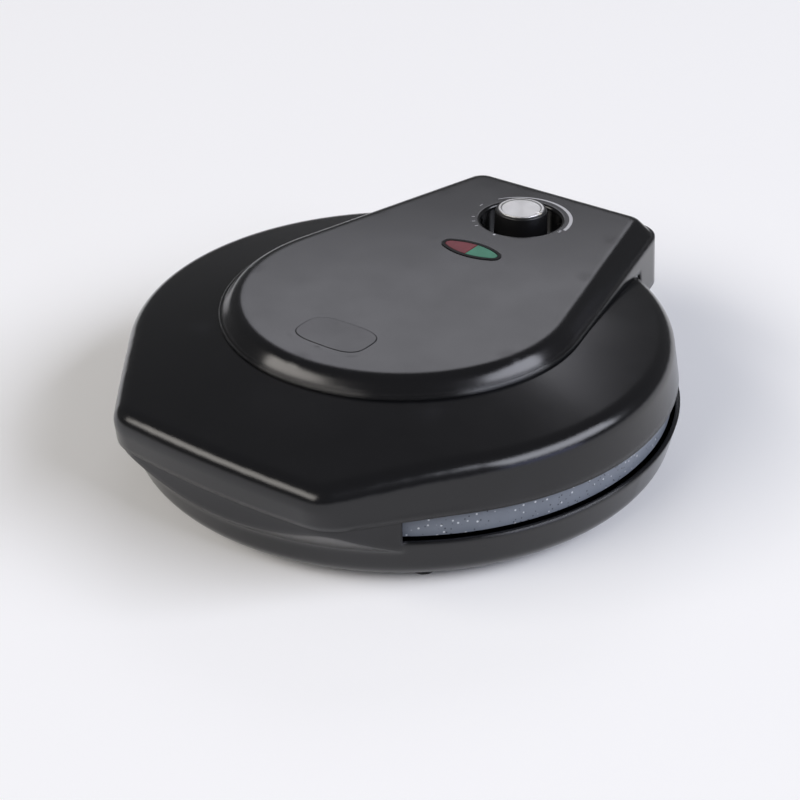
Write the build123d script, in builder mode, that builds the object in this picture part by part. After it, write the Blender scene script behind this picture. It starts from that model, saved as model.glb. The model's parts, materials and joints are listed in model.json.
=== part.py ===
from build123d import *
from math import cos, radians, sin, sqrt, tan
import os

os.makedirs("parts", exist_ok=True)

# Overall sizes: the lid's radius at its lower edge, and the height at which the two plates meet
skirt_radius = 170.0
mating_z = 52.0

# Heights above the worktop
foot_height = 5.0
lid_lap = 2.0
lid_rest_gap = 0.3
skirt_z = mating_z - lid_lap
block_top_z = skirt_z - lid_rest_gap
base_lip_z = mating_z - 17.5
deck_edge_z = mating_z + 26.6
cover_lower_z = mating_z + 5.0
cover_lip_z = deck_edge_z + 11.4
cover_top_z = cover_lip_z + 8.5
prism_top_z = deck_edge_z + 13.4

# Base bowl
base_lip_radius = skirt_radius + 1.9
base_waist_radius = base_lip_radius - 3.9
base_waist_z = 17.0
base_floor_radius = base_lip_radius - 16.4
base_wall = 2.6
block_inset = 3.4
block_half_angle = 36.5
block_low_z = base_lip_z - 10.5
block_low_radius = base_waist_radius - 0.2
block_flare_radius = block_low_radius + 20.7

# Lid outline at the skirt's lower edge, and how each size changes per millimetre of height
skirt_draft = 0.17
front_reach = skirt_radius + 8.4
front_lean = 0.215
front_bow_radius = 604.0
flank_angle = 39.6
flank_twist = -0.1
corner_radius = 31.0
corner_shrink = -0.55
lid_wall = 2.7
lid_edge_fillet = 11.0

# Conical deck of the lid
deck_edge_radius = skirt_radius - 4.8
deck_slope = 9.6
deck_flat_radius = 100.0
deck_opening_rear_y = skirt_radius - 20.0

# Hinge axis
hinge_y = skirt_radius + 5.0
hinge_z = mating_z - 9.0

# Raised control cover
cover_centre_y = 2.8
cover_nose_radius = 112.8
cover_taper = 12.8
crown_taper = 14.1
cover_rear_y = hinge_y + 12.0
cover_corner = 20.0
cover_draft = 2.9
cover_wall = 2.5
cover_lip_width = 1.9
cover_crown_inset = 9.8
cover_rear_inset = 8.0
cover_crown_fillet = 8.0
cover_seat_gap = 0.15
cover_ledge = 22.0
cover_boss_radius = 4.0
boss_nose_y = -97.0
boss_rear_y = cover_rear_y - 49.0
cover_bosses = [(0, boss_nose_y), (94, -25), (-94, -25), (79, 84), (-79, 84), (65, boss_rear_y), (-65, boss_rear_y)]

# Knob, its well and the thermostat
knob_y = cover_rear_y - 55.1
knob_radius = 17.6
knob_top_radius = knob_radius - 0.8
knob_top_z = cover_top_z + 7.1
knob_cap_radius = knob_radius - 2.6
knob_cap_rise = 0.7
knob_cap_recess = 1.6
knob_floor_gap = 0.6
knob_wall = 2.0
knob_hub_radius = 6.0
well_radius = knob_radius + 8.8
well_flare = 2.5
well_floor_z = cover_top_z - 10.5
well_wall = 2.2
shaft_radius = 3.0
running_clearance = 0.05
bush_radius = 4.5
bush_top_z = well_floor_z + 1.5
bracket_sheet = 1.2
bracket_reach = well_radius + 7.6
thermostat_high_z = well_floor_z - well_wall - bracket_sheet - 0.8
thermostat_gap = 0.45

# Indicator light
lamp_y = knob_y - 57.3
lamp_length = 43.5
lamp_width = 19.7
lamp_tip_radius = 6.0
bezel_lip = 0.95
bezel_wall = 1.3
bezel_rise = 0.5
bezel_low_z = cover_top_z - 4.5
lens_gap = 0.15
lens_rise = 0.4
holder_reach = lamp_length / 2 + 3.25
holder_sheet = 1.6
lamp_spacing = 16.0

# Badge pad
badge_y = -64.0
badge_length = 49.0
badge_width = 31.0
badge_depth = 0.9
badge_rise = 0.3
badge_gap = 0.2

# Cooking plates: levels are measured from the plane where the two plates meet
plate_gap = 0.15
lower_rim_radius = skirt_radius - 3.4
upper_rim_radius = skirt_radius - 7.0
rim_inner_radius = skirt_radius - 15.5
pan_radius = skirt_radius - 23.0
pan_depth = 11.0
plate_thickness = 3.0
rim_thickness = 3.2
rim_step = 2.4
pan_corner = 5.0
lower_rim_drop = 16.6
upper_rim_drop = 13.0

# Heating element, clips, reflector and washers behind each plate
heater_radius = pan_radius - 29.0
heater_tube = 3.5
heater_opening = 34.0
heater_bend = 9.0
heater_lead = 14.0
heater_pin_radius = 1.4
heater_pin_length = 10.0
heater_gap = 0.15
clip_sheet = 1.0
clip_width = 9.0
reflector_radius = pan_radius + 1.0
reflector_rim = 5.0
reflector_sheet = 0.8
washer_thickness = 1.8
stack_gap = 0.15
stud_radius = 4.2
stud_depth = 1.2
post_radius = 5.6
lower_post_ring = heater_radius - 20.0
upper_post_ring = cover_nose_radius - 14.8
rear_post = (76.0, knob_y - 27.9)

# Screws
screw_radius = 2.0
screw_clearance = 0.25
thread_clearance = 0.05
screw_head_radius = 3.9
screw_head_height = 2.6
screw_bite = 5.5
base_screw_seat = foot_height + base_wall + 3.4
lid_screw_seat = deck_edge_z + 2.4
small_screw_radius = 1.5
small_head_radius = 2.9
small_head_height = 1.8
screw_head_gap = 0.1

# Hinge
knuckle_radius = 7.0
hinge_pin_radius = 2.5
ear_inner_x = 37.5
ear_outer_x = 50.0
knuckle_inner_x = 24.0
hinge_side_gap = 0.4
pin_head_radius = 4.0
pin_head_height = 1.5
hinge_box_x = 54.0
hinge_box_y = cover_rear_y - cover_wall + 0.1
hinge_box_low_z = mating_z + 1.0
hinge_box_high_z = hinge_box_low_z + 21.0
hinge_box_depth = 40.0
hinge_box_hollow = 16.0
ear_foot_y = base_lip_radius - 13.9

# Feet
foot_ring_radius = base_floor_radius - 7.5
foot_angle = 41.0
foot_radius = 7.5
foot_stem_radius = 3.0
foot_gap = 0.1

# Cut-outs behind the elements
cutout_radius = 7.8
cutout_height = 5.5
cutout_ear_spacing = 22.0
cutout_tab = 0.8
lower_cutout_place = (48.0, 36.0)
upper_cutout_place = (-46.0, 58.0)

# Mains inlet and terminals
gland_z = foot_height + base_wall + 12.4
gland_radius = 6.5
gland_bore_radius = 3.7
gland_flange_radius = 9.0
gland_flange = 3.0
gland_face_y = base_lip_radius + 0.6
gland_boss_radius = 10.5
gland_length = 17.5
gland_boss_depth = 14.5
gland_snap = 1.6
terminal_y = gland_face_y - 34.5
terminal_length = 38.0
terminal_width = 16.0
terminal_height = 11.0
terminal_pitch = 12.0
wire_radius = 2.6
clamp_radius = 2.2

# Half the difference between the reach of the cover's rear edge and that of the handle
middle_y = 3.5
far_radius = front_reach + 26.6

plate_back = pan_depth + plate_thickness
heater_level = plate_back + heater_gap + heater_tube
clip_level = heater_level + heater_tube + heater_gap
reflector_level = clip_level + clip_sheet + stack_gap
washer_level = reflector_level + reflector_sheet + stack_gap
post_level = washer_level + washer_thickness + stack_gap
stud_level = clip_level - stack_gap
thermostat_low_z = mating_z + reflector_level + reflector_sheet + thermostat_gap
floor_z = foot_height + base_wall


def ring_points(radius, angles):
    return [(radius * cos(radians(a)), radius * sin(radians(a))) for a in angles]


lower_posts = ring_points(lower_post_ring, (30, 90, 150, 210, 270, 330))
upper_posts = ring_points(upper_post_ring, (8, 172, 225, 315)) + [rear_post, (-rear_post[0], rear_post[1])]
foot_points = ring_points(foot_ring_radius, (foot_angle - 90, 90 - foot_angle, 90 + foot_angle, 270 - foot_angle))


def deck_z(radius):
    """Height of the lid's conical deck at a radius."""
    return deck_edge_z + (deck_edge_radius - radius) * tan(radians(deck_slope))


def flipped(point):
    return Vector(-point.X, point.Y)


def lid_outline(z, inset):
    """Closed outline of the lid at height z, moved inwards by inset."""
    rise = z - skirt_z
    radius = skirt_radius - skirt_draft * rise - inset
    front = front_reach + front_lean * rise - inset
    bow = front_bow_radius - inset
    corner = max(corner_radius + corner_shrink * rise - inset, 1.0)
    flank = radians(flank_angle + flank_twist * rise)
    normal = Vector(cos(flank), -sin(flank))
    along = Vector(-sin(flank), -cos(flank))
    bow_centre = Vector(0, bow - front)
    reach = normal * (radius - corner) - bow_centre
    slide = reach.dot(along)
    step = -slide + sqrt(slide ** 2 - reach.dot(reach) + (bow - corner) ** 2)
    corner_centre = normal * (radius - corner) + along * step
    outward = (corner_centre - bow_centre).normalized()
    start = normal * radius
    turn = corner_centre + normal * corner
    middle = corner_centre + (normal + outward).normalized() * corner
    front_corner = corner_centre + outward * corner
    ThreePointArc(flipped(start), (0, radius), start)
    Line(start, turn)
    ThreePointArc(turn, middle, front_corner)
    ThreePointArc(front_corner, (0, -front), flipped(front_corner))
    ThreePointArc(flipped(front_corner), flipped(middle), flipped(turn))
    Line(flipped(turn), flipped(start))


def cover_outline(outset, rear_outset, taper_angle):
    """Keyhole outline of the control cover, moved outwards by outset and at the rear by rear_outset."""
    taper = radians(taper_angle)
    nose = cover_nose_radius + outset
    corner = max(cover_corner + outset, 1.0)
    side = Vector(cos(taper), sin(taper))
    centre_y = cover_rear_y + rear_outset - corner
    reach = nose + cover_centre_y * side.Y
    centre = Vector((reach - corner - centre_y * side.Y) / side.X, centre_y)
    nose_end = Vector(0, cover_centre_y) + side * nose
    turn = centre + side * corner
    middle = centre + (side + Vector(0, 1)).normalized() * corner
    rear_end = centre + Vector(0, corner)
    ThreePointArc(flipped(nose_end), (0, cover_centre_y - nose), nose_end)
    Line(nose_end, turn)
    ThreePointArc(turn, middle, rear_end)
    Line(rear_end, flipped(rear_end))
    ThreePointArc(flipped(rear_end), flipped(middle), flipped(turn))
    Line(flipped(turn), flipped(nose_end))


def lid_prism(bottom, top, inset):
    """Solid between the lid outlines at two heights."""
    with BuildPart() as prism:
        for z in (bottom, top):
            with BuildSketch(Plane.XY.offset(z)):
                with BuildLine():
                    lid_outline(z, inset)
                make_face()
        loft(ruled=True)
    return prism.part


def deck_cone(shift):
    """Everything below the conical deck, raised by shift."""
    with BuildPart() as cone:
        with BuildSketch(Plane.XZ):
            Polygon((0, 0), (far_radius, 0), (far_radius, deck_z(far_radius) + shift),
                    (deck_flat_radius, deck_z(deck_flat_radius) + shift),
                    (0, deck_z(deck_flat_radius) + shift), align=None)
        revolve(axis=Axis.Z)
    return cone.part


def cover_prism(low, low_form, high, high_form):
    """Solid between the cover's outlines at two heights."""
    with BuildPart() as prism:
        for z, form in ((low, low_form), (high, high_form)):
            with BuildSketch(Plane.XY.offset(z)):
                with BuildLine():
                    cover_outline(*form)
                make_face()
        loft(ruled=True)
    return prism.part


def wall_form(z, inset):
    """Outline of the drafted cover wall at height z, moved inwards by inset."""
    outset = (cover_lip_z - z) * tan(radians(cover_draft)) - inset
    return outset, outset, cover_taper


def crown_form(z, inset):
    """Outline of the crown's sloping face at height z, moved inwards by inset."""
    share = (z - cover_lip_z) / (cover_top_z - cover_lip_z)
    outset = -cover_lip_width - share * (cover_crown_inset - cover_lip_width) - inset
    rear_outset = -cover_lip_width - share * (cover_rear_inset - cover_lip_width) - inset
    return outset, rear_outset, cover_taper + share * (crown_taper - cover_taper)


def front_block(inset):
    """Flared solid from the bowl up to the lid's handle, its faces moved inwards by inset."""
    rise = block_top_z - block_low_z
    flare_inset = inset * sqrt(rise ** 2 + (block_flare_radius - block_low_radius) ** 2) / rise
    with BuildPart() as block:
        with BuildSketch(Plane.XY.offset(block_low_z)):
            with BuildLine():
                lid_outline(skirt_z, block_inset + inset)
            make_face()
        extrude(amount=rise - inset)
        with BuildSketch(Plane.XZ):
            Polygon((0, block_low_z), (block_low_radius - flare_inset, block_low_z),
                    (block_flare_radius - flare_inset, block_top_z), (0, block_top_z), align=None)
        revolve(axis=Axis.Z, mode=Mode.INTERSECT)
        tip_y = -inset / sin(radians(block_half_angle))
        spread = far_radius * tan(radians(block_half_angle))
        with BuildSketch(Plane.XY):
            Polygon((0, tip_y), (-spread, tip_y - far_radius), (spread, tip_y - far_radius), align=None)
        extrude(amount=block_top_z, mode=Mode.INTERSECT)
    return block.part


def eye_outline(inset):
    """Pointed oval of the indicator light, drawn about the sketch origin."""
    half_length = lamp_length / 2 - inset
    half_width = lamp_width / 2 - inset
    tip = max(lamp_tip_radius - inset, 0.4)
    reach = half_length - tip
    big = (reach ** 2 + half_width ** 2 - tip ** 2) / (2 * (half_width - tip))
    drop = big - half_width
    spread = sqrt(reach ** 2 + drop ** 2)
    touch = Vector(reach + tip * reach / spread, tip * drop / spread)
    ThreePointArc(flipped(touch), (0, half_width), touch)
    ThreePointArc(touch, (half_length, 0), (touch.X, -touch.Y))
    ThreePointArc((touch.X, -touch.Y), (0, -half_width), (-touch.X, -touch.Y))
    ThreePointArc((-touch.X, -touch.Y), (-half_length, 0), flipped(touch))


def badge_outline(inset):
    """Barrel-sided pad outline, drawn about the sketch origin."""
    long = badge_length / 2 - inset
    wide = badge_width / 2 - inset
    corner = Vector(long - 3.0, wide - 1.8)
    ThreePointArc(flipped(corner), (0, wide), corner)
    ThreePointArc(corner, (long, 0), (corner.X, -corner.Y))
    ThreePointArc((corner.X, -corner.Y), (0, -wide), (-corner.X, -corner.Y))
    ThreePointArc((-corner.X, -corner.Y), (-long, 0), flipped(corner))


def finish(piece, label):
    """Writes one piece, moved so that the middle of the whole lies on the origin."""
    placed = Pos(0, -middle_y, 0) * piece.part
    placed.label = label
    export_step(placed, f"parts/{label}.step")


# Base shell: turned bowl, hollow front block, hinge ears, screw posts, inlet boss
block = front_block(0)
block_hollow = front_block(base_wall)
with BuildPart() as base_shell:
    with BuildSketch(Plane.XZ):
        with BuildLine():
            wall = Line((base_lip_radius, base_lip_z), (base_waist_radius, base_waist_z))
            TangentArc(wall @ 1, (base_floor_radius, foot_height), tangent=wall % 1)
            Polyline((base_floor_radius, foot_height), (0, foot_height), (0, base_lip_z),
                     (base_lip_radius, base_lip_z))
        make_face()
    revolve(axis=Axis.Z)
    add(block)
    with BuildSketch(Plane.XZ):
        waist_inner = base_waist_radius - base_wall
        Polygon((0, floor_z), (base_floor_radius - base_wall, floor_z), (waist_inner, base_waist_z),
                (base_lip_radius - base_wall, base_lip_z), (lower_rim_radius + 0.6, base_lip_z),
                (lower_rim_radius + 0.6, block_top_z + 1), (0, block_top_z + 1), align=None)
    revolve(axis=Axis.Z, mode=Mode.SUBTRACT)
    add(block_hollow, mode=Mode.SUBTRACT)
    for side in (1, -1):
        with BuildSketch(Plane.YZ.offset(side * ear_inner_x)):
            with BuildLine():
                Polyline((hinge_y - knuckle_radius, hinge_z), (hinge_y - knuckle_radius, base_lip_z - 1),
                         (ear_foot_y, base_lip_z - 6), (ear_foot_y, floor_z), (base_floor_radius + 5, floor_z),
                         (hinge_y + knuckle_radius, base_waist_z + 8), (hinge_y + knuckle_radius, hinge_z))
                ThreePointArc((hinge_y + knuckle_radius, hinge_z), (hinge_y, hinge_z + knuckle_radius),
                              (hinge_y - knuckle_radius, hinge_z))
            make_face()
        extrude(amount=side * (ear_outer_x - ear_inner_x))
    with Locations(Location((0, hinge_y, hinge_z), (0, 90, 0))):
        Cylinder(hinge_pin_radius + running_clearance, 2 * ear_outer_x + 10, mode=Mode.SUBTRACT)
    with BuildSketch(Plane.XZ.offset(-gland_face_y)):
        with Locations((0, gland_z)):
            Circle(gland_boss_radius)
    extrude(amount=gland_boss_depth)
    with BuildSketch(Plane.XZ.offset(-gland_face_y)):
        with Locations((0, gland_z)):
            Circle(gland_radius + foot_gap)
    extrude(amount=30, mode=Mode.SUBTRACT)
    with Locations(*[(x, y, floor_z) for x, y in lower_posts]):
        Cylinder(post_radius, mating_z - post_level - floor_z, align=(Align.CENTER, Align.CENTER, Align.MIN))
    with Locations(*[(x, y, 0) for x, y in lower_posts]):
        Cylinder(screw_radius + screw_clearance, 60, align=(Align.CENTER, Align.CENTER, Align.MIN),
                 mode=Mode.SUBTRACT)
        Cylinder(screw_head_radius + screw_clearance, base_screw_seat,
                 align=(Align.CENTER, Align.CENTER, Align.MIN), mode=Mode.SUBTRACT)
    with Locations(*[(x, y, 0) for x, y in foot_points]):
        Cylinder(foot_stem_radius + foot_gap, 12, align=(Align.CENTER, Align.CENTER, Align.MIN),
                 mode=Mode.SUBTRACT)
finish(base_shell, "base_shell")

# Rubber feet, each plugged into the floor
with BuildPart() as feet:
    with BuildSketch(Plane.XZ):
        with BuildLine():
            Polyline((0, 0), (foot_radius - 2.4, 0))
            ThreePointArc((foot_radius - 2.4, 0), (foot_radius - 0.8, 0.9), (foot_radius, foot_height - 1.5))
            Polyline((foot_radius, foot_height - 1.5), (foot_radius, foot_height), (foot_stem_radius, foot_height),
                     (foot_stem_radius, floor_z + 1.5), (0, floor_z + 1.5), (0, 0))
        make_face()
    foot_solid = revolve(axis=Axis.Z, mode=Mode.PRIVATE)
    with Locations(*foot_points):
        add(foot_solid)
finish(feet, "rubber_feet")


def plate_piece(side, rim_radius, rim_drop, posts):
    """Coated die-cast plate with studs behind it; side is -1 below the mating plane, +1 above."""
    with BuildPart() as plate:
        with BuildSketch(Plane.XZ):
            level = lambda r, h: (r, mating_z + side * h)
            with BuildLine():
                Line(level(0, pan_depth), level(pan_radius, pan_depth))
                ThreePointArc(level(pan_radius, pan_depth),
                              level(pan_radius + 0.68 * pan_corner, pan_depth - 0.32 * pan_corner),
                              level(pan_radius + pan_corner, pan_depth - pan_corner))
                Polyline(level(pan_radius + pan_corner, pan_depth - pan_corner), level(rim_inner_radius, plate_gap),
                         level(rim_radius - 0.4, plate_gap), level(rim_radius, rim_drop),
                         level(rim_radius - rim_thickness, rim_drop),
                         level(rim_radius - rim_thickness, plate_gap + rim_thickness),
                         level(rim_inner_radius + rim_step, plate_gap + rim_thickness),
                         level(pan_radius + 4.0, plate_back), level(0, plate_back), level(0, pan_depth))
            make_face()
        revolve(axis=Axis.Z)
        with BuildSketch(Plane.XY.offset(mating_z + side * (plate_back - 1))):
            with Locations(*posts):
                Circle(stud_radius)
        extrude(amount=side * (stud_level - plate_back + 1))
        with BuildSketch(Plane.XY.offset(mating_z + side * (pan_depth + stud_depth))):
            with Locations(*posts):
                Circle(screw_radius + thread_clearance)
        extrude(amount=side * 20, mode=Mode.SUBTRACT)
    return plate


def heater_piece(side):
    """Tubular element bent into an open ring, with turned-in ends and terminal pins."""
    plane = Plane.XY.offset(mating_z + side * heater_level)
    with BuildPart() as heater:
        with BuildLine(plane) as route:
            ring = CenterArc((0, 0), heater_radius, 90 + heater_opening / 2, 360 - heater_opening)
            first = JernArc(ring @ 0, (ring % 0) * -1, heater_bend, -90)
            second = JernArc(ring @ 1, ring % 1, heater_bend, 90)
            Line(first @ 1, first @ 1 + (first % 1) * heater_lead)
            Line(second @ 1, second @ 1 + (second % 1) * heater_lead)
        tube_start = first @ 1 + (first % 1) * heater_lead
        with BuildSketch(Plane(origin=tube_start, z_dir=(first % 1) * -1)):
            Circle(heater_tube)
        sweep(path=route.wires()[0])
        for bend in (first, second):
            with BuildSketch(Plane(origin=bend @ 1 + (bend % 1) * (heater_lead - 1), z_dir=bend % 1)):
                Circle(heater_pin_radius)
            extrude(amount=heater_pin_length)
    return heater


def clip_pieces(side, posts):
    """Sheet strips that hold the element against the plate at each stud."""
    with BuildPart() as clips:
        for x, y in posts:
            radius = sqrt(x * x + y * y)
            inward = -1 if radius > heater_radius else 1
            length = abs(radius - heater_radius) + heater_tube + 2
            outward_dir = Vector(x, y).normalized() * inward
            low = mating_z + side * (clip_level + (0 if side > 0 else clip_sheet))
            strip_plane = Plane(origin=(x, y, low), x_dir=outward_dir, z_dir=(0, 0, 1))
            with BuildSketch(strip_plane):
                with Locations((length / 2 - 2.2, 0)):
                    Rectangle(length + 4.4 + 2, clip_width)
                Circle(screw_radius + screw_clearance, mode=Mode.SUBTRACT)
            extrude(amount=clip_sheet)
    return clips


def reflector_piece(side, posts):
    """Thin dish behind the element, its rim turned towards the plate."""
    with BuildPart() as reflector:
        with BuildSketch(Plane.XZ):
            near = mating_z + side * reflector_level
            far = mating_z + side * (reflector_level + reflector_sheet)
            rim = mating_z + side * (reflector_level - reflector_rim)
            inner = reflector_radius - reflector_sheet
            Polygon((0, near), (inner, near), (inner, rim), (reflector_radius, rim), (reflector_radius, far),
                    (0, far), align=None)
        revolve(axis=Axis.Z)
        with BuildSketch(Plane.XY):
            with Locations(*posts):
                Circle(screw_radius + screw_clearance)
            with Locations(*ring_points(heater_radius - 27, (90 - heater_opening / 2, 90 + heater_opening / 2))):
                SlotOverall(20, 9)
        extrude(amount=140, mode=Mode.SUBTRACT)
    return reflector


def washer_pieces(side, posts):
    """Heat-resisting washers between the reflector and the screw posts."""
    with BuildPart() as washers:
        with BuildSketch(Plane.XY.offset(mating_z + side * washer_level)):
            with Locations(*posts):
                Circle(post_radius)
                Circle(screw_radius + screw_clearance, mode=Mode.SUBTRACT)
        extrude(amount=side * washer_thickness)
    return washers


def screw_pieces(points, seat, tip, radius, head_radius, head_height):
    """Pan-head screws along Z: the head's bearing face is at seat, the end at tip."""
    way = 1 if tip > seat else -1
    with BuildPart() as screws:
        with BuildSketch(Plane.XZ):
            Polygon((0, tip), (radius - 0.5, tip), (radius, tip - way * 0.8), (radius, seat), (head_radius, seat),
                    (head_radius, seat - way * head_height * 0.45), (head_radius * 0.72, seat - way * head_height),
                    (0, seat - way * head_height), align=None)
        screw = revolve(axis=Axis.Z, mode=Mode.PRIVATE)
        with BuildSketch(Plane.XY.offset(seat - way * head_height)):
            Rectangle(head_radius * 1.1, 0.9)
            Rectangle(0.9, head_radius * 1.1)
        cross = extrude(amount=way * head_height * 0.5, mode=Mode.PRIVATE)
        with Locations(*points):
            add(screw)
        with Locations(*points):
            add(cross, mode=Mode.SUBTRACT)
    return screws


lower_plate = plate_piece(-1, lower_rim_radius, lower_rim_drop, lower_posts)
finish(lower_plate, "lower_plate")
upper_plate = plate_piece(1, upper_rim_radius, upper_rim_drop, upper_posts)
finish(upper_plate, "upper_plate")
finish(heater_piece(-1), "lower_heating_element")
finish(heater_piece(1), "upper_heating_element")
finish(clip_pieces(-1, lower_posts), "lower_element_clips")
finish(clip_pieces(1, upper_posts), "upper_element_clips")
finish(reflector_piece(-1, lower_posts), "lower_reflector")
finish(reflector_piece(1, upper_posts), "upper_reflector")
finish(washer_pieces(-1, lower_posts), "lower_washers")
finish(washer_pieces(1, upper_posts), "upper_washers")
finish(screw_pieces(lower_posts, base_screw_seat - screw_head_gap, mating_z - stud_level + screw_bite,
                    screw_radius, screw_head_radius, screw_head_height), "lower_plate_screws")
finish(screw_pieces(upper_posts, lid_screw_seat + screw_head_gap, mating_z + stud_level - screw_bite,
                    screw_radius, screw_head_radius, screw_head_height), "upper_plate_screws")

# Lid shell: skirt, conical deck, hollow handle, hinge box with two knuckles
lid_outer = lid_prism(skirt_z, prism_top_z, 0)
lid_inner = lid_prism(skirt_z + lid_wall, prism_top_z, lid_wall)
lid_top = deck_cone(0)
lid_ceiling = deck_cone(-lid_wall)
with BuildPart() as lid_cavity:
    add(lid_inner)
    add(lid_ceiling, mode=Mode.INTERSECT)
    ceiling_edges = lid_cavity.edges().filter_by(
        lambda e: deck_z(far_radius) - lid_wall < e.center().Z < deck_edge_z - 0.5)
    fillet(ceiling_edges, radius=lid_edge_fillet - lid_wall)
with BuildPart() as lid_shell:
    add(lid_outer)
    add(lid_top, mode=Mode.INTERSECT)
    rim_edges = lid_shell.edges().filter_by(lambda e: deck_z(far_radius) < e.center().Z < deck_edge_z + 1.5)
    fillet(rim_edges, radius=lid_edge_fillet)
    with Locations((0, hinge_box_y, hinge_box_low_z)):
        Box(2 * hinge_box_x, hinge_box_depth, hinge_box_high_z - hinge_box_low_z,
            align=(Align.CENTER, Align.MAX, Align.MIN))
    with Locations((0, hinge_box_y - lid_wall, hinge_box_low_z + lid_wall)):
        Box(2 * (hinge_box_x - lid_wall), hinge_box_hollow, hinge_box_high_z - hinge_box_low_z - 2 * lid_wall,
            align=(Align.CENTER, Align.MAX, Align.MIN), mode=Mode.SUBTRACT)
    add(lid_cavity.part, mode=Mode.SUBTRACT)
    with Locations((0, 0, skirt_z - 1)):
        Cylinder(skirt_radius - lid_wall - 0.45, lid_wall + 2, align=(Align.CENTER, Align.CENTER, Align.MIN),
                 mode=Mode.SUBTRACT)
    for side in (1, -1):
        with BuildSketch(Plane.YZ.offset(side * knuckle_inner_x)):
            with BuildLine():
                Polyline((hinge_y + knuckle_radius, hinge_z), (hinge_y + knuckle_radius - 1.2, hinge_box_low_z + 1),
                         (hinge_y - knuckle_radius, hinge_box_low_z + 1), (hinge_y - knuckle_radius, hinge_z))
                ThreePointArc((hinge_y - knuckle_radius, hinge_z), (hinge_y, hinge_z - knuckle_radius),
                              (hinge_y + knuckle_radius, hinge_z))
            make_face()
        extrude(amount=side * (ear_inner_x - hinge_side_gap - knuckle_inner_x))
    with Locations(Location((0, hinge_y, hinge_z), (0, 90, 0))):
        Cylinder(hinge_pin_radius + running_clearance, 2 * ear_outer_x, mode=Mode.SUBTRACT)
    for x, y in upper_posts:
        with Locations((x, y, mating_z + post_level)):
            Cylinder(post_radius, deck_z(sqrt(x * x + y * y)) - 1.6 - mating_z - post_level,
                     align=(Align.CENTER, Align.CENTER, Align.MIN))
    with BuildSketch(Plane.XY.offset(lid_screw_seat - 10)):
        with BuildLine():
            cover_outline(-cover_ledge, -cover_ledge, cover_taper)
        make_face()
        with Locations((0, deck_opening_rear_y)):
            Rectangle(300, 100, align=(Align.CENTER, Align.MIN), mode=Mode.SUBTRACT)
        with Locations(*upper_posts):
            Circle(post_radius, mode=Mode.SUBTRACT)
    extrude(amount=40, mode=Mode.SUBTRACT)
    with Locations(*[(x, y, lid_screw_seat - 11) for x, y in upper_posts]):
        Cylinder(screw_radius + screw_clearance, 30, align=(Align.CENTER, Align.CENTER, Align.MIN),
                 mode=Mode.SUBTRACT)
    with Locations(*[(x, y, lid_screw_seat) for x, y in upper_posts]):
        Cylinder(screw_head_radius + screw_clearance, 20, align=(Align.CENTER, Align.CENTER, Align.MIN),
                 mode=Mode.SUBTRACT)
    with Locations(*[(x, y, lid_screw_seat - 11) for x, y in cover_bosses]):
        Cylinder(small_screw_radius + screw_clearance, 30, align=(Align.CENTER, Align.CENTER, Align.MIN),
                 mode=Mode.SUBTRACT)
finish(lid_shell, "lid_shell")

# Hinge pins, headed at their outer ends
with BuildPart() as hinge_pins:
    for side in (1, -1):
        with BuildSketch(Plane.YZ.offset(side * (knuckle_inner_x - 1.5))):
            with Locations((hinge_y, hinge_z)):
                Circle(hinge_pin_radius)
        extrude(amount=side * (ear_outer_x + stack_gap + 0.5 - knuckle_inner_x + 1.5))
        with BuildSketch(Plane.YZ.offset(side * (ear_outer_x + stack_gap))):
            with Locations((hinge_y, hinge_z)):
                Circle(pin_head_radius)
        extrude(amount=side * pin_head_height)
finish(hinge_pins, "hinge_pins")

# Mains inlet bush and terminal block
with BuildPart() as cord_gland:
    with BuildSketch(Plane.XZ.offset(-gland_face_y - stack_gap)):
        with Locations((0, gland_z)):
            Circle(gland_flange_radius)
            Circle(gland_bore_radius, mode=Mode.SUBTRACT)
    extrude(amount=-gland_flange)
    with BuildSketch(Plane.XZ.offset(-gland_face_y - stack_gap)):
        with Locations((0, gland_z)):
            Circle(gland_radius)
            Circle(gland_bore_radius, mode=Mode.SUBTRACT)
    extrude(amount=gland_length)
    with BuildSketch(Plane.XZ.offset(gland_boss_depth + 2 * stack_gap - gland_face_y)):
        with Locations((0, gland_z)):
            Circle(gland_radius + gland_snap)
            Circle(gland_bore_radius, mode=Mode.SUBTRACT)
    extrude(amount=gland_length - gland_boss_depth - stack_gap)
finish(cord_gland, "cord_gland")

with BuildPart() as terminal_block:
    with Locations((0, terminal_y, floor_z + stack_gap)):
        Box(terminal_length, terminal_width, terminal_height, align=(Align.CENTER, Align.CENTER, Align.MIN))
    ways = (-terminal_pitch, 0, terminal_pitch)
    with Locations(*[(x, terminal_y, floor_z + stack_gap + terminal_height / 2) for x in ways]):
        Cylinder(wire_radius, terminal_width / 2, rotation=(90, 0, 0), mode=Mode.SUBTRACT)
    with Locations(*[(x, terminal_y - terminal_width / 4, floor_z + terminal_height - 2.4) for x in ways]):
        Cylinder(clamp_radius, 6, mode=Mode.SUBTRACT)
    fillet(terminal_block.edges().filter_by(Axis.Z).group_by(SortBy.LENGTH)[-1], radius=0.8)
finish(terminal_block, "terminal_block")

# Cut-outs that stop each element if it overheats
for side, place, label in ((-1, lower_cutout_place, "lower_cutout"), (1, upper_cutout_place, "upper_cutout")):
    start = mating_z + side * (reflector_level + reflector_sheet + stack_gap)
    with BuildPart() as cutout:
        with BuildSketch(Plane.XY.offset(start)):
            with Locations(place):
                SlotCenterToCenter(cutout_ear_spacing, 9)
        extrude(amount=side * cutout_tab)
        with BuildSketch(Plane.XY.offset(start)):
            with Locations(place):
                Circle(cutout_radius)
        extrude(amount=side * cutout_height)
        with BuildSketch(Plane.XY.offset(start + side * 2.5)):
            with Locations((place[0], place[1] + cutout_radius + 1.7), (place[0], place[1] - cutout_radius - 1.7)):
                Rectangle(5.2, 7.0)
        extrude(amount=side * cutout_tab)
    finish(cutout, label)

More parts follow.
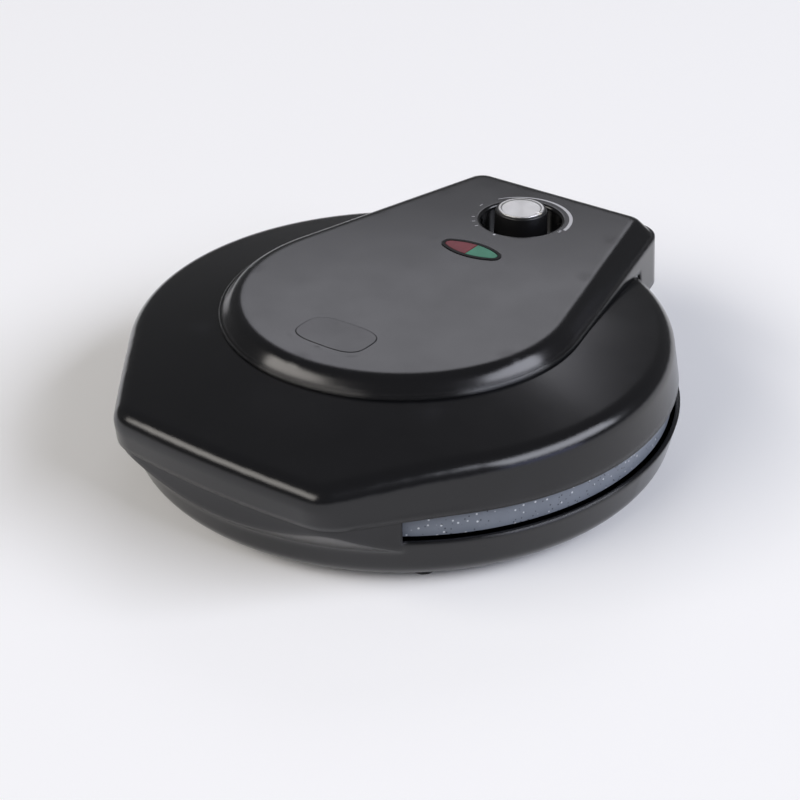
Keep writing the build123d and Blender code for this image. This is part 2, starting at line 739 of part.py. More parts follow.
# Control cover: drafted wall, lip, crowned top, knob well, screw bosses
crown_rise = cover_top_z - cover_lip_z
crown_slant = sqrt((cover_crown_inset - cover_lip_width) ** 2 + crown_rise ** 2)
crown_shift = cover_wall * crown_slant / crown_rise
ceiling_z = cover_top_z - cover_wall
inner_lip_z = cover_lip_z - 2.0
cover_skirt = cover_prism(cover_lower_z, wall_form(cover_lower_z, 0), cover_lip_z, wall_form(cover_lip_z, 0))
cover_crown = cover_prism(cover_lip_z, crown_form(cover_lip_z, 0), cover_top_z, crown_form(cover_top_z, 0))
skirt_hollow = cover_prism(cover_lower_z - 1, wall_form(cover_lower_z - 1, cover_wall),
                           inner_lip_z, wall_form(inner_lip_z, cover_wall))
crown_hollow = cover_prism(inner_lip_z, crown_form(inner_lip_z, crown_shift),
                           ceiling_z, crown_form(ceiling_z, crown_shift))
lid_envelope = lid_prism(skirt_z - 2, prism_top_z + 2, -0.3) & deck_cone(cover_seat_gap)
with BuildPart() as control_cover:
    add(cover_skirt)
    add(cover_crown)
    fillet(control_cover.edges().group_by(Axis.Z)[-1], radius=cover_crown_fillet)
    lip_edges = control_cover.edges().filter_by(lambda e: abs(e.center().Z - cover_lip_z) < 0.01)
    fillet(lip_edges, radius=0.8)
    add(skirt_hollow, mode=Mode.SUBTRACT)
    add(crown_hollow, mode=Mode.SUBTRACT)
    with Locations(*[(x, y, ceiling_z + 1) for x, y in cover_bosses]):
        Cylinder(cover_boss_radius, ceiling_z - cover_lower_z, align=(Align.CENTER, Align.CENTER, Align.MAX))
    with Locations((0, knob_y, well_floor_z - well_wall)):
        Cylinder(well_radius + well_wall, ceiling_z + 1 - well_floor_z + well_wall,
                 align=(Align.CENTER, Align.CENTER, Align.MIN))
    with Locations((bracket_reach, knob_y, ceiling_z + 1), (-bracket_reach, knob_y, ceiling_z + 1)):
        Cylinder(cover_boss_radius, ceiling_z + 1 - thermostat_high_z - bracket_sheet - stack_gap,
                 align=(Align.CENTER, Align.CENTER, Align.MAX))
    with Locations((holder_reach, lamp_y, ceiling_z + 1), (-holder_reach, lamp_y, ceiling_z + 1)):
        Cylinder(cover_boss_radius - 0.5, ceiling_z + 1 - bezel_low_z,
                 align=(Align.CENTER, Align.CENTER, Align.MAX))
    add(lid_envelope, mode=Mode.SUBTRACT)
    with Locations((0, knob_y, well_floor_z)):
        Cylinder(well_radius, 30, align=(Align.CENTER, Align.CENTER, Align.MIN), mode=Mode.SUBTRACT)
    well_rim = control_cover.edges().filter_by(GeomType.CIRCLE).filter_by(
        lambda e: abs(e.center().Z - cover_top_z) < 0.01 and abs(e.radius - well_radius) < 0.01)
    fillet(well_rim, radius=well_flare)
    with Locations((0, knob_y, well_floor_z)):
        Cylinder(bush_radius + 0.1, 20, mode=Mode.SUBTRACT)
    with BuildSketch(Plane(origin=(0, lamp_y, cover_top_z))):
        with BuildLine():
            eye_outline(bezel_lip - lens_gap)
        make_face()
    extrude(amount=-10, mode=Mode.SUBTRACT)
    with BuildSketch(Plane(origin=(0, badge_y, cover_top_z))):
        with BuildLine():
            badge_outline(-badge_gap)
        make_face()
    extrude(amount=-badge_depth, mode=Mode.SUBTRACT)
    blind_holes = [(x, y, ceiling_z + 0.3) for x, y in cover_bosses]
    blind_holes += [(x, knob_y, ceiling_z + 0.3) for x in (-bracket_reach, bracket_reach)]
    blind_holes += [(x, lamp_y, ceiling_z + 0.3) for x in (-holder_reach, holder_reach)]
    with Locations(*blind_holes):
        Cylinder(small_screw_radius + thread_clearance, 30, align=(Align.CENTER, Align.CENTER, Align.MAX),
                 mode=Mode.SUBTRACT)
finish(control_cover, "control_cover")

# Screws from under the deck into the cover
with BuildPart() as cover_screws:
    for x, y in cover_bosses:
        outer = sqrt(x * x + y * y) + small_head_radius
        seat = min(deck_z(outer), deck_z(deck_flat_radius)) - lid_wall - stack_gap
        tip = min(seat + 12, ceiling_z)
        with BuildSketch(Plane.XY.offset(seat - small_head_height)):
            with Locations((x, y)):
                Circle(small_head_radius)
        extrude(amount=small_head_height)
        with BuildSketch(Plane.XY.offset(seat)):
            with Locations((x, y)):
                Circle(small_screw_radius)
        extrude(amount=tip - seat)
        with BuildSketch(Plane.XY.offset(seat - small_head_height)):
            with Locations((x, y)):
                Rectangle(3.2, 0.8)
                Rectangle(0.8, 3.2)
        extrude(amount=0.9, mode=Mode.SUBTRACT)
finish(cover_screws, "cover_screws")

# Thermostat under the well, with its bracket
with BuildPart() as thermostat_body:
    with Locations((0, knob_y, thermostat_low_z)):
        Box(34, 20, thermostat_high_z - thermostat_low_z, align=(Align.CENTER, Align.CENTER, Align.MIN))
    fillet(thermostat_body.edges().filter_by(Axis.Z), radius=2)
    with Locations((0, knob_y, thermostat_high_z)):
        Cylinder(bush_radius, bush_top_z - thermostat_high_z, align=(Align.CENTER, Align.CENTER, Align.MIN))
    with Locations((0, knob_y, thermostat_low_z + 3)):
        Cylinder(shaft_radius + running_clearance, 20, align=(Align.CENTER, Align.CENTER, Align.MIN),
                 mode=Mode.SUBTRACT)
    with Locations((-19.5, knob_y + 4, thermostat_low_z + 4), (-19.5, knob_y - 4, thermostat_low_z + 4)):
        Box(7, 4.8, 0.8)
finish(thermostat_body, "thermostat_body")

with BuildPart() as thermostat_bracket:
    with BuildSketch(Plane.XY.offset(thermostat_high_z + stack_gap / 2)):
        with Locations((0, knob_y)):
            SlotCenterToCenter(2 * bracket_reach, 11)
            Circle(bush_radius + 0.1, mode=Mode.SUBTRACT)
        with Locations((bracket_reach, knob_y), (-bracket_reach, knob_y)):
            Circle(small_screw_radius + screw_clearance, mode=Mode.SUBTRACT)
    extrude(amount=bracket_sheet)
finish(thermostat_bracket, "thermostat_bracket")

# Knob: hollow grip on a hub, spun cap, and the shaft that it turns
knob_low_z = well_floor_z + knob_floor_gap
knob_profile = Plane.XZ.offset(-knob_y)
knob_axis = Axis((0, knob_y, 0), (0, 0, 1))
with BuildPart() as knob_body:
    with BuildSketch(knob_profile):
        recess = knob_cap_radius + 0.1
        Polygon((shaft_radius + running_clearance, knob_low_z + 2.2), (knob_hub_radius, knob_low_z + 2.2),
                (knob_hub_radius, knob_top_z - 4.6), (knob_top_radius - knob_wall, knob_top_z - 4.6),
                (knob_radius - knob_wall, knob_low_z), (knob_radius, knob_low_z), (knob_top_radius, knob_top_z),
                (recess, knob_top_z), (recess, knob_top_z - knob_cap_recess), (0, knob_top_z - knob_cap_recess),
                (0, knob_top_z - 3.0), (shaft_radius + running_clearance, knob_top_z - 3.0), align=None)
    revolve(axis=knob_axis)
    rim = knob_body.edges().filter_by(lambda e: abs(e.center().Z - knob_top_z) < 0.01).sort_by(SortBy.LENGTH)[-1]
    fillet(rim, radius=1.2)
finish(knob_body, "knob_body")

with BuildPart() as knob_cap:
    cap_low = knob_top_z - knob_cap_recess + 0.05
    cap_high = knob_top_z + knob_cap_rise
    with BuildSketch(knob_profile):
        with BuildLine():
            Polyline((0, cap_low), (knob_cap_radius, cap_low), (knob_cap_radius, cap_high - 0.5))
            ThreePointArc((knob_cap_radius, cap_high - 0.5), (knob_cap_radius - 0.15, cap_high - 0.15),
                          (knob_cap_radius - 0.5, cap_high))
            Line((knob_cap_radius - 0.5, cap_high), (knob_cap_radius - 1.6, cap_high))
            Line((knob_cap_radius - 1.6, cap_high), (knob_cap_radius - 2.4, cap_high - 0.3))
            Polyline((knob_cap_radius - 2.4, cap_high - 0.3), (0, cap_high - 0.3), (0, cap_low))
        make_face()
    revolve(axis=knob_axis)
    with BuildSketch(Plane(origin=(0, knob_y, cap_high))):
        Polygon((knob_cap_radius + 1, 1.9), (knob_cap_radius + 1, -1.9), (knob_cap_radius - 4.2, 0), align=None)
    extrude(amount=-1.0, mode=Mode.SUBTRACT)
finish(knob_cap, "knob_cap")

with BuildPart() as thermostat_shaft:
    with Locations((0, knob_y, thermostat_low_z + 3.2)):
        Cylinder(shaft_radius, knob_top_z - 3.3 - thermostat_low_z - 3.2,
                 align=(Align.CENTER, Align.CENTER, Align.MIN))
    with Locations((shaft_radius, knob_y, knob_top_z - 3.3)):
        Box(1.6, 8, 9, align=(Align.CENTER, Align.CENTER, Align.MAX), mode=Mode.SUBTRACT)
finish(thermostat_shaft, "thermostat_shaft")

# Indicator light: bezel, two lenses, lamps in a holder
with BuildPart() as lamp_bezel:
    for low, high, inset in ((cover_top_z + 0.05, cover_top_z + bezel_rise, 0), (bezel_low_z, cover_top_z + 0.1, bezel_lip)):
        with BuildSketch(Plane(origin=(0, lamp_y, low))):
            with BuildLine():
                eye_outline(inset)
            make_face()
        extrude(amount=high - low)
    with BuildSketch(Plane(origin=(0, lamp_y, bezel_low_z))):
        with BuildLine():
            eye_outline(bezel_lip + bezel_wall)
        make_face()
    extrude(amount=10, mode=Mode.SUBTRACT)
finish(lamp_bezel, "lamp_bezel")

for side, label in ((-1, "red_lens"), (1, "green_lens")):
    with BuildPart() as lens:
        with BuildSketch(Plane(origin=(0, lamp_y, bezel_low_z + 0.5))):
            with BuildLine():
                eye_outline(bezel_lip + bezel_wall + lens_gap)
            make_face()
            with Locations((side * (lens_gap / 2 - 20), 0)):
                Rectangle(40, 40, mode=Mode.SUBTRACT)
        extrude(amount=cover_top_z + lens_rise - bezel_low_z - 0.5)
        crown_edges = lens.edges().group_by(Axis.Z)[-1]
        fillet(crown_edges, radius=0.5)
    finish(lens, label)

holder_top = bezel_low_z - 0.15
with BuildPart() as lamp_holder:
    with BuildSketch(Plane.XY.offset(holder_top)):
        with Locations((0, lamp_y)):
            SlotCenterToCenter(2 * holder_reach, 8)
        with Locations((holder_reach, lamp_y), (-holder_reach, lamp_y)):
            Circle(small_screw_radius + screw_clearance, mode=Mode.SUBTRACT)
    extrude(amount=-holder_sheet)
    with BuildSketch(Plane.XY.offset(holder_top)):
        with Locations((0, lamp_y)):
            RectangleRounded(34, 15, 1.5)
    extrude(amount=-8)
    with BuildSketch(Plane.XY.offset(holder_top)):
        with Locations((-lamp_spacing / 2, lamp_y), (lamp_spacing / 2, lamp_y)):
            Rectangle(14, 12)
    extrude(amount=-6.6, mode=Mode.SUBTRACT)
finish(lamp_holder, "lamp_holder")

with BuildPart() as indicator_lamps:
    for x in (-lamp_spacing / 2, lamp_spacing / 2):
        with Locations(Location((x, lamp_y, holder_top - 4.2), (0, 90, 0))):
            Cylinder(2.2, 9)
    fillet(indicator_lamps.edges(), radius=1.5)
finish(indicator_lamps, "indicator_lamps")

# Badge pad in its recess
with BuildPart() as badge_pad:
    with BuildSketch(Plane(origin=(0, badge_y, cover_top_z - badge_depth + 0.05))):
        with BuildLine():
            badge_outline(0)
        make_face()
    extrude(amount=badge_depth - 0.05 + badge_rise)
    fillet(badge_pad.edges().group_by(Axis.Z)[-1], radius=0.25)
finish(badge_pad, "badge_pad")

# Small screws under the cover: bracket, lamp holder
holder_low = holder_top - holder_sheet - stack_gap
with BuildPart() as bracket_screws:
    for x, y, seat in ((bracket_reach, knob_y, thermostat_high_z), (-bracket_reach, knob_y, thermostat_high_z),
                       (holder_reach, lamp_y, holder_low), (-holder_reach, lamp_y, holder_low)):
        with BuildSketch(Plane.XY.offset(seat - small_head_height)):
            with Locations((x, y)):
                Circle(small_head_radius)
        extrude(amount=small_head_height)
        with BuildSketch(Plane.XY.offset(seat)):
            with Locations((x, y)):
                Circle(small_screw_radius)
        extrude(amount=ceiling_z - seat)
finish(bracket_screws, "bracket_screws")
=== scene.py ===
import json
import math

import bmesh
import bpy
from mathutils import Matrix, Vector


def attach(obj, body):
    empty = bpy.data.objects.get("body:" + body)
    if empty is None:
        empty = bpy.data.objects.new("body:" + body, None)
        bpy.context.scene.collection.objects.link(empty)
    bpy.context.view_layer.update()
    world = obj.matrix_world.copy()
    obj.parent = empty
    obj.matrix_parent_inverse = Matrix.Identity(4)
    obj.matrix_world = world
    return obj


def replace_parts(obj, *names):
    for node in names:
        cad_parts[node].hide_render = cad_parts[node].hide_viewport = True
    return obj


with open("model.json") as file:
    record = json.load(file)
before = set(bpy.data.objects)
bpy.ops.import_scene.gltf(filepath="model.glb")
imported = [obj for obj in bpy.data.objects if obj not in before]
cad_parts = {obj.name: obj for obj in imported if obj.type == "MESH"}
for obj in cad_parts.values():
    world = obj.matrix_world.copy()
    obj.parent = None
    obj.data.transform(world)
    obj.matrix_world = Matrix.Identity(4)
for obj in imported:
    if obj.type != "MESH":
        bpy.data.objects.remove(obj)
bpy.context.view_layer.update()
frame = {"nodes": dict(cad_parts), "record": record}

nodes = frame["nodes"]
print("frame loaded with", len(nodes), "CAD nodes")


def hexLinear(code):
    channels = [int(code[i:i + 2], 16) / 255 for i in (1, 3, 5)]
    linear = [c / 12.92 if c <= 0.04045 else ((c + 0.055) / 1.055) ** 2.4 for c in channels]
    return (*linear, 1.0)


def addNode(tree, kind, settings={}, links={}):
    node = tree.nodes.new("ShaderNode" + kind)
    for name, value in settings.items():
        setattr(node, name, value)
    for socket, value in links.items():
        if isinstance(value, bpy.types.NodeSocket):
            tree.links.new(value, node.inputs[socket])
        else:
            node.inputs[socket].default_value = value
    return node


def newTree(name):
    material = bpy.data.materials.new(name)
    material.use_nodes = True
    material.node_tree.nodes.clear()
    return material, material.node_tree


def perMetre(sizeMm):
    return 1000 / sizeMm  # a texture scale for a feature of that many millimetres


def directionFrom(azimuth, elevation):
    turn, rise = math.radians(azimuth), math.radians(elevation)
    return Vector((math.sin(turn) * math.cos(rise), -math.cos(turn) * math.cos(rise), math.sin(rise)))


def aim(obj, place, target, roll=0):
    back = (place - target).normalized()
    right = Vector((0, 0, 1)).cross(back).normalized()
    axes = Matrix((right, back.cross(right), back)).transposed().to_4x4()
    obj.matrix_world = Matrix.Translation(place) @ axes @ Matrix.Rotation(math.radians(roll), 4, "Z")


# camera, floor and lamps

view = {
    "target": (0.0161, -0.0273, 0.0406),
    "azimuth": 36.67, "elevation": 30.53, "roll": -0.45,  # degrees
    "distance": 1.1371,
    "lens": 84.13,  # mm on a 36 mm sensor
}
cameraData = bpy.data.cameras.new("camera")
cameraData.lens = view["lens"]
cameraData.clip_start = 0.02
camera = bpy.data.objects.new("camera", cameraData)
bpy.context.collection.objects.link(camera)
viewTarget = Vector(view["target"])
viewFrom = viewTarget + directionFrom(view["azimuth"], view["elevation"]) * view["distance"]
aim(camera, viewFrom, viewTarget, view["roll"])
bpy.context.scene.camera = camera
bpy.context.scene.view_settings.view_transform = "Standard"

studio = {
    "floorWidth": 60.0,
    "floorColour": "#dededc",
    "seenFloorColour": "#ffffff",
    "roomColour": "#fbfcff",
    "roomBrightness": 0.14,
    "lampTarget": (0, 0, 0.06),
}
lamps = {  # azimuth from the handle's side, spans in degrees as the object sees them, brightness as radiance
    "softbox_left": {"azimuth": -27, "elevation": 36, "distance": 12.0, "spanAcross": 62, "spanUp": 21,
                     "brightness": 5.0, "colour": "#fffaf4"},
    "softbox_right": {"azimuth": 104, "elevation": 34, "distance": 12.0, "spanAcross": 52, "spanUp": 26,
                      "brightness": 6.6, "colour": "#f0f3ff"},
    "softbox_back": {"azimuth": -147, "elevation": 34, "distance": 12.0, "spanAcross": 24, "spanUp": 17,
                     "brightness": 1.6, "colour": "#f6f6ff"},
    "strip_low_right": {"azimuth": 92, "elevation": 8, "distance": 12.0, "spanAcross": 34, "spanUp": 13,
                        "brightness": 1.6, "colour": "#c6ceff"},
}


def addLamp(name, lamp):
    data = bpy.data.lights.new(name, "AREA")
    data.shape = "RECTANGLE"
    data.size = 2 * lamp["distance"] * math.tan(math.radians(lamp["spanAcross"] / 2))
    data.size_y = 2 * lamp["distance"] * math.tan(math.radians(lamp["spanUp"] / 2))
    data.energy = math.pi * data.size * data.size_y * lamp["brightness"]
    data.color = hexLinear(lamp["colour"])[:3]
    obj = bpy.data.objects.new(name, data)
    bpy.context.collection.objects.link(obj)
    target = Vector(studio["lampTarget"])
    aim(obj, target + directionFrom(lamp["azimuth"], lamp["elevation"]) * lamp["distance"], target)


for lampName, lamp in lamps.items():
    addLamp(lampName, lamp)

# matt painted studio floor: white to the lens and in reflections, with the object's soft shadow
floorMaterial, tree = newTree("studio_floor_matt_paint")
rays = addNode(tree, "LightPath").outputs
seen = addNode(tree, "Math", {"operation": "MAXIMUM"}, {0: rays["Is Camera Ray"], 1: rays["Is Glossy Ray"]})
seen = addNode(tree, "Math", {"operation": "MAXIMUM"}, {0: seen.outputs[0], 1: rays["Is Transmission Ray"]})
floorColour = addNode(tree, "Mix", {"data_type": "RGBA"}, {
    0: seen.outputs[0], 6: hexLinear(studio["floorColour"]), 7: hexLinear(studio["seenFloorColour"])})
paint = addNode(tree, "BsdfDiffuse", {}, {"Color": floorColour.outputs[2]})
addNode(tree, "OutputMaterial", {}, {"Surface": paint.outputs[0]})
floorMesh = bpy.data.meshes.new("floor")
half = studio["floorWidth"] / 2
floorCorners = [(-half, -half, 0), (half, -half, 0), (half, half, 0), (-half, half, 0)]
floorMesh.from_pydata(floorCorners, [], [(0, 1, 2, 3)])
floorMesh.materials.append(floorMaterial)
floor = bpy.data.objects.new("floor", floorMesh)
bpy.context.collection.objects.link(floor)

# the room: evenly dim between the softboxes
world = bpy.data.worlds.new("room")
world.use_nodes = True
bpy.context.scene.world = world
tree = world.node_tree
tree.nodes.clear()
air = addNode(tree, "Background", {}, {
    "Color": hexLinear(studio["roomColour"]), "Strength": studio["roomBrightness"]})
addNode(tree, "OutputWorld", {}, {"Surface": air.outputs[0]})
print("camera, floor and lamps in place")

# moulded plastics

mouldings = {
    # glass-filled PBT from a polished tool: deep black, a slightly soft shine, faint waviness
    "black_plastic": {"name": "pbt_moulded_satin_black", "colour": "#101012", "rubbed": "#1a1a1d",
                      "roughness": 0.16, "uneven": 0.03, "grainMm": 0.9, "grainDepthMm": 0.004,
                      "waveMm": 70, "waveDepthMm": 0.05, "ior": 1.5, "shoulder": True},
    # phenolic knob skirt, blasted tool: darker and duller than the cover
    "knob_plastic": {"name": "phenolic_moulded_matt_black", "colour": "#0b0b0c", "rubbed": "#19191a",
                     "roughness": 0.38, "uneven": 0.06, "grainMm": 0.7, "grainDepthMm": 0.006,
                     "waveMm": 30, "waveDepthMm": 0.01, "ior": 1.5},
    # ABS rim from a blasted tool: dull, so it draws a dark line round the lenses
    "bezel_plastic": {"name": "abs_moulded_dull_black", "colour": "#050506", "rubbed": "#0c0c0d",
                      "roughness": 0.55, "uneven": 0.05, "grainMm": 0.9, "grainDepthMm": 0.004,
                      "waveMm": 25, "waveDepthMm": 0.01, "ior": 1.4},
    # ABS pad, lightly etched: a shade greyer than the panel, with nearly its shine
    "badge_plastic": {"name": "abs_moulded_etched_black", "colour": "#1d1d1f", "rubbed": "#2a2a2c",
                      "roughness": 0.2, "uneven": 0.04, "grainMm": 1.1, "grainDepthMm": 0.012,
                      "waveMm": 30, "waveDepthMm": 0.01, "ior": 1.5},
    # steatite-filled nylon block: off-white, dull
    "terminal_plastic": {"name": "nylon_moulded_ivory", "colour": "#d9d2c0", "rubbed": "#e4dfd2",
                         "roughness": 0.5, "uneven": 0.06, "grainMm": 0.8, "grainDepthMm": 0.006,
                         "waveMm": 20, "waveDepthMm": 0.01, "ior": 1.5},
}
wear = {  # patches that hands have dulled, and edges that they have rubbed
    "patchMm": 42, "patchLow": 0.35, "patchHigh": 0.7, "edgeLow": 0.53, "edgeHigh": 0.62,
}
shoulder = {  # how round the edges of the cover and shells look, in metres
    "radius": 0.0055, "samples": 8, "fade": 0.003,
    # x, y and reach of what keeps its crisp edges: the knob's well, the lenses, the badge's two halves
    "pockets": ((0, 0.1284, 0.041), (0, 0.0711, 0.027), (-0.010, -0.0675, 0.019), (0.010, -0.0675, 0.019)),
}


def softShoulder(tree, place):
    # a normal that turns gently over an edge, away from the pockets
    away = None
    for x, y, reach in shoulder["pockets"]:
        level = addNode(tree, "VectorMath", {"operation": "MULTIPLY"}, {0: place, 1: (1, 1, 0)})
        apart = addNode(tree, "VectorMath", {"operation": "DISTANCE"}, {0: level.outputs[0], 1: (x, y, 0)})
        clear = addNode(tree, "MapRange", {}, {
            "Value": apart.outputs["Value"], "From Min": reach, "From Max": reach + shoulder["fade"]}).outputs[0]
        if away is not None:
            clear = addNode(tree, "Math", {"operation": "MINIMUM"}, {0: away, 1: clear}).outputs[0]
        away = clear
    rounded = addNode(tree, "Bevel", {"samples": shoulder["samples"]}, {"Radius": shoulder["radius"]})
    plain = addNode(tree, "NewGeometry").outputs["Normal"]
    return addNode(tree, "Mix", {"data_type": "VECTOR"}, {0: away, 4: plain, 5: rounded.outputs[0]}).outputs[1]


def mouldedPlastic(look):
    material, tree = newTree(look["name"])
    place = addNode(tree, "TexCoord").outputs["Object"]
    handled = addNode(tree, "TexNoise", {}, {
        "Vector": place, "Scale": perMetre(wear["patchMm"]), "Detail": 4, "Roughness": 0.6})
    rough = addNode(tree, "MapRange", {}, {
        "Value": handled.outputs[0], "From Min": wear["patchLow"], "From Max": wear["patchHigh"],
        "To Min": look["roughness"] - look["uneven"] / 2, "To Max": look["roughness"] + look["uneven"]})
    edge = addNode(tree, "MapRange", {"interpolation_type": "SMOOTHSTEP"}, {
        "Value": addNode(tree, "NewGeometry").outputs["Pointiness"],
        "From Min": wear["edgeLow"], "From Max": wear["edgeHigh"]})
    colour = addNode(tree, "Mix", {"data_type": "RGBA"}, {
        0: edge.outputs[0], 6: hexLinear(look["colour"]), 7: hexLinear(look["rubbed"])})
    wave = addNode(tree, "TexNoise", {}, {"Vector": place, "Scale": perMetre(look["waveMm"]), "Detail": 1})
    grain = addNode(tree, "TexNoise", {}, {"Vector": place, "Scale": perMetre(look["grainMm"]), "Detail": 2})
    soft = addNode(tree, "Bump", {}, {
        "Strength": 1, "Distance": look["waveDepthMm"] / 1000, "Height": wave.outputs[0]})
    if look.get("shoulder"):
        tree.links.new(softShoulder(tree, place), soft.inputs["Normal"])
    fine = addNode(tree, "Bump", {}, {
        "Strength": 1, "Distance": look["grainDepthMm"] / 1000, "Height": grain.outputs[0],
        "Normal": soft.outputs[0]})
    shader = addNode(tree, "BsdfPrincipled", {}, {
        "Base Color": colour.outputs[2], "Roughness": rough.outputs[0], "IOR": look["ior"],
        "Normal": fine.outputs[0]})
    addNode(tree, "OutputMaterial", {}, {"Surface": shader.outputs[0]})
    return material


finishes = {slot: mouldedPlastic(look) for slot, look in mouldings.items()}
print("moulded plastics made")

# speckled coating of the cooking plates

coating = {
    "light": "#7c828b", "deep": "#666c76", "cloudMm": 16,
    "pale": "#c9ccd0", "paleMm": 3.2, "paleRadius": 0.20, "paleShare": 0.55,
    "dark": "#30343b", "darkMm": 2.2, "darkRadius": 0.22, "darkShare": 0.5,
    "spotInner": 0.6, "spotOuter": 1.3,  # shares of a fleck's radius between which it fades
    "peelMm": 1.6, "depthMm": 0.02, "roughness": 0.34, "ior": 1.4,
}


def speckledCoating(look):
    # sprayed PTFE over die-cast aluminium: cool grey with pale and dark flecks, a low sheen and orange peel
    material, tree = newTree("ptfe_sprayed_speckled_grey")
    place = addNode(tree, "TexCoord").outputs["Object"]
    cloud = addNode(tree, "TexNoise", {}, {"Vector": place, "Scale": perMetre(look["cloudMm"]), "Detail": 5})
    colour = addNode(tree, "Mix", {"data_type": "RGBA"}, {
        0: cloud.outputs[0], 6: hexLinear(look["deep"]), 7: hexLinear(look["light"])}).outputs[2]
    for fleck in ("dark", "pale"):
        cells = addNode(tree, "TexVoronoi", {}, {"Vector": place, "Scale": perMetre(look[fleck + "Mm"])})
        spot = addNode(tree, "MapRange", {"interpolation_type": "SMOOTHSTEP"}, {
            "Value": cells.outputs["Distance"], "From Min": look[fleck + "Radius"] * look["spotInner"],
            "From Max": look[fleck + "Radius"] * look["spotOuter"], "To Min": 1, "To Max": 0})
        chance = addNode(tree, "SeparateColor", {}, {0: cells.outputs["Color"]})
        chosen = addNode(tree, "Math", {"operation": "LESS_THAN"}, {
            0: chance.outputs[0], 1: look[fleck + "Share"]})
        amount = addNode(tree, "Math", {"operation": "MULTIPLY"}, {0: spot.outputs[0], 1: chosen.outputs[0]})
        colour = addNode(tree, "Mix", {"data_type": "RGBA"}, {
            0: amount.outputs[0], 6: colour, 7: hexLinear(look[fleck])}).outputs[2]
    peel = addNode(tree, "TexNoise", {}, {"Vector": place, "Scale": perMetre(look["peelMm"]), "Detail": 2})
    bump = addNode(tree, "Bump", {}, {
        "Strength": 1, "Distance": look["depthMm"] / 1000, "Height": peel.outputs[0]})
    shader = addNode(tree, "BsdfPrincipled", {}, {
        "Base Color": colour, "Roughness": look["roughness"], "IOR": look["ior"], "Normal": bump.outputs[0]})
    addNode(tree, "OutputMaterial", {}, {"Surface": shader.outputs[0]})
    return material


finishes["plate_coating"] = speckledCoating(coating)
print("plate coating made")

# spun cap of the knob

cap = {"colour": "#f3f2f0", "dark": "#d2d1cf", "roughness": 0.3, "anisotropy": 0.75,
       "grooveMm": 0.5, "grooveScale": 1.7, "grooveDepthMm": 0.004, "centre": (0, 0.1284, 0)}


def spunAluminium(look):
    # aluminium disc faced on a lathe: bright rings, and the shine drawn into two fans across them
    material, tree = newTree("aluminium_spun_face")
    place = addNode(tree, "TexCoord").outputs["Object"]
    middle = addNode(tree, "VectorMath", {"operation": "SUBTRACT"}, {0: place, 1: look["centre"]})
    flat = addNode(tree, "VectorMath", {"operation": "MULTIPLY"}, {0: middle.outputs[0], 1: (1, 1, 0)})
    radius = addNode(tree, "VectorMath", {"operation": "LENGTH"}, {0: flat.outputs[0]})
    rings = addNode(tree, "Math", {"operation": "MULTIPLY"}, {
        0: radius.outputs["Value"], 1: perMetre(look["grooveMm"])})
    uneven = addNode(tree, "TexNoise", {"noise_dimensions": "1D"}, {
        "W": rings.outputs[0], "Scale": look["grooveScale"], "Detail": 3})
    colour = addNode(tree, "Mix", {"data_type": "RGBA"}, {
        0: uneven.outputs[0], 6: hexLinear(look["dark"]), 7: hexLinear(look["colour"])})
    bump = addNode(tree, "Bump", {}, {
        "Strength": 1, "Distance": look["grooveDepthMm"] / 1000, "Height": uneven.outputs[0]})
    tangent = addNode(tree, "Tangent", {"direction_type": "RADIAL", "axis": "Z"})
    shader = addNode(tree, "BsdfPrincipled", {}, {
        "Base Color": colour.outputs[2], "Metallic": 1, "Roughness": look["roughness"],
        "Anisotropic": look["anisotropy"], "Tangent": tangent.outputs[0], "Normal": bump.outputs[0]})
    addNode(tree, "OutputMaterial", {}, {"Surface": shader.outputs[0]})
    return material


finishes["spun_aluminium"] = spunAluminium(cap)

# plain metals inside

metals = {
    # stainless heater tube after its first heats: brown-grey oxide
    "element_steel": {"name": "steel_drawn_oxidised", "colour": "#6b625b", "dark": "#453f3b",
                      "roughness": 0.45, "patchMm": 9, "grainMm": 0.8},
    # hot-dipped aluminised sheet: pale spangle with a rolled sheen
    "reflector_steel": {"name": "steel_aluminised_sheet", "colour": "#c6c6c3", "dark": "#a3a3a1",
                        "roughness": 0.34, "patchMm": 7, "grainMm": 0.6},
    # zinc-plated screws and pins
    "steel_screw": {"name": "steel_zinc_plated", "colour": "#c3c4c2", "dark": "#96989a",
                    "roughness": 0.3, "patchMm": 3, "grainMm": 0.4},
    # turned brass bush
    "brass_parts": {"name": "brass_turned", "colour": "#d6b25e", "dark": "#a8823c",
                    "roughness": 0.28, "patchMm": 4, "grainMm": 0.4},
}
metalSurface = {"duller": 0.1, "shinier": 0.06, "grainDepthMm": 0.01}  # from patch to patch


def plainMetal(look):
    material, tree = newTree(look["name"])
    place = addNode(tree, "TexCoord").outputs["Object"]
    patch = addNode(tree, "TexNoise", {}, {"Vector": place, "Scale": perMetre(look["patchMm"]), "Detail": 4})
    colour = addNode(tree, "Mix", {"data_type": "RGBA"}, {
        0: patch.outputs[0], 6: hexLinear(look["dark"]), 7: hexLinear(look["colour"])})
    rough = addNode(tree, "MapRange", {}, {
        "Value": patch.outputs[0], "To Min": look["roughness"] + metalSurface["duller"],
        "To Max": look["roughness"] - metalSurface["shinier"]})
    grain = addNode(tree, "TexNoise", {}, {"Vector": place, "Scale": perMetre(look["grainMm"]), "Detail": 2})
    bump = addNode(tree, "Bump", {}, {
        "Strength": 1, "Distance": metalSurface["grainDepthMm"] / 1000, "Height": grain.outputs[0]})
    shader = addNode(tree, "BsdfPrincipled", {}, {
        "Base Color": colour.outputs[2], "Metallic": 1, "Roughness": rough.outputs[0],
        "Normal": bump.outputs[0]})
    addNode(tree, "OutputMaterial", {}, {"Surface": shader.outputs[0]})
    return material


finishes.update({slot: plainMetal(look) for slot, look in metals.items()})
print("metals made")

# rubber and ceramic

